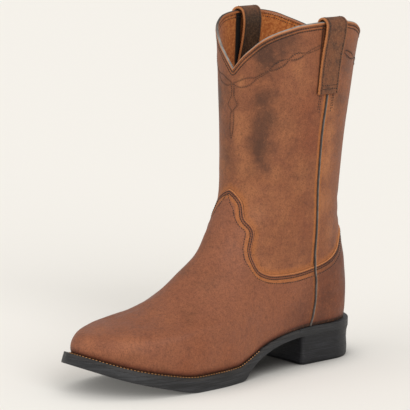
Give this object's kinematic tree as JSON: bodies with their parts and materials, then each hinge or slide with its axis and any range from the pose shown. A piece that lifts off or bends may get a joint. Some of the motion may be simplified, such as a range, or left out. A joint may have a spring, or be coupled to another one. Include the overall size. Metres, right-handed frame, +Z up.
{
  "type": "roper boot",
  "caption": "Pull-on leather boot for the left foot with a round toe, low block heel, scalloped collar and pull straps.",
  "frame": {"origin": "on the floor under the middle of the heel block", "axes": "+Z up the shaft, the toe towards -Y, +X to the outer side of the left foot"},
  "size_m": [0.1232, 0.3044, 0.3061],
  "materials": {
    "sole_rubber": "satin black with fine level lines on its edge",
    "welt_strip": "black dressed edge",
    "insole_board": "plain tan, worn",
    "upper_leather": "waxed and rubbed brown, mottled darker on the shaft",
    "seam_trim": "grey-brown bead",
    "strap_leather": "waxed brown with a raw tan edge"
  },
  "bodies": {
    "root": {"outsole": "sole_rubber", "heel": "sole_rubber", "welt": "welt_strip", "insole": "insole_board", "upper": "upper_leather", "collar_binding": "seam_trim", "side_piping_outer": "seam_trim", "side_piping_inner": "seam_trim", "pull_strap_outer": "strap_leather", "pull_strap_inner": "strap_leather"}
  },
  "joints": []
}
